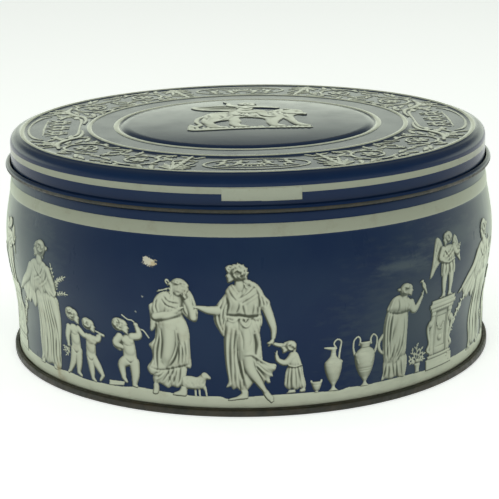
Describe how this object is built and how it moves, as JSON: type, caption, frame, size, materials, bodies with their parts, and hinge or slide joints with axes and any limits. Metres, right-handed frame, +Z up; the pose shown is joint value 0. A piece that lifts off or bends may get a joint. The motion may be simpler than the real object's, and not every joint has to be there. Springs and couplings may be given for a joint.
{
  "type": "cookie tin",
  "caption": "Round pressed-tinplate cookie tin with a bulging wall, a double-seamed base, and a shallow lid with a rolled hem that lifts straight off.",
  "frame": {"origin": "centre of the base, on the surface that the tin stands on", "axes": "+Z up along the tin's axis, the way the lid lifts; +Y to the back, where the side seam is; -Y the front"},
  "size_m": [0.244, 0.244, 0.1132],
  "materials": {
    "printed_tinplate": "gloss lacquer over print",
    "printed_lid": "gloss lacquer over print",
    "bare_tinplate": "worn, with rust",
    "inside_tinplate": "satin",
    "sealing_compound": "matt"
  },
  "bodies": {
    "tin_body": {"body_wall": "printed_tinplate", "base_plate": "bare_tinplate", "base_seam_compound": "sealing_compound", "side_seam": "inside_tinplate"},
    "lid": {"lid_shell": "printed_lid"}
  },
  "joints": [
    {"name": "lid_lift", "type": "slide", "parent": "tin_body", "child": "lid", "axis": [0, 0, 1], "range_m": [0, 0.12]}
  ]
}
